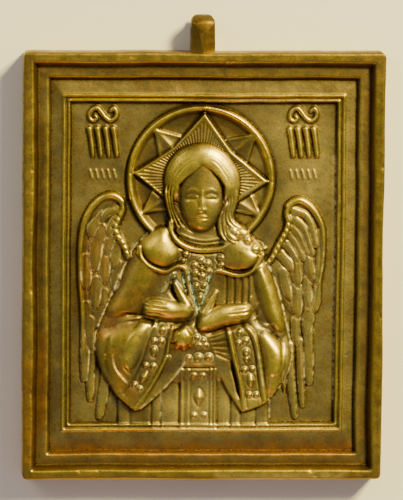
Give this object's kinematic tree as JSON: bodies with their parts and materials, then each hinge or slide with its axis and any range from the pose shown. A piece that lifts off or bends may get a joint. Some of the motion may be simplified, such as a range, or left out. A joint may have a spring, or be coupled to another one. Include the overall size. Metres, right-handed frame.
{
  "type": "travel icon",
  "caption": "Small cast brass icon plate with a stepped frame, a winged haloed half figure in relief and a pierced hanging loop on its upper edge.",
  "frame": {"origin": "centre of the rectangular plate's flat back", "axes": "+Z out of the relief face, +Y towards the hanging loop, +X to the right of a viewer who faces the relief"},
  "size_m": [0.052, 0.0672, 0.0047],
  "materials": {
    "aged_brass": "cast brass, rubbed bright on the high relief, brown patina in the hollows"
  },
  "bodies": {
    "root": {"icon_casting": "aged_brass"}
  },
  "joints": []
}
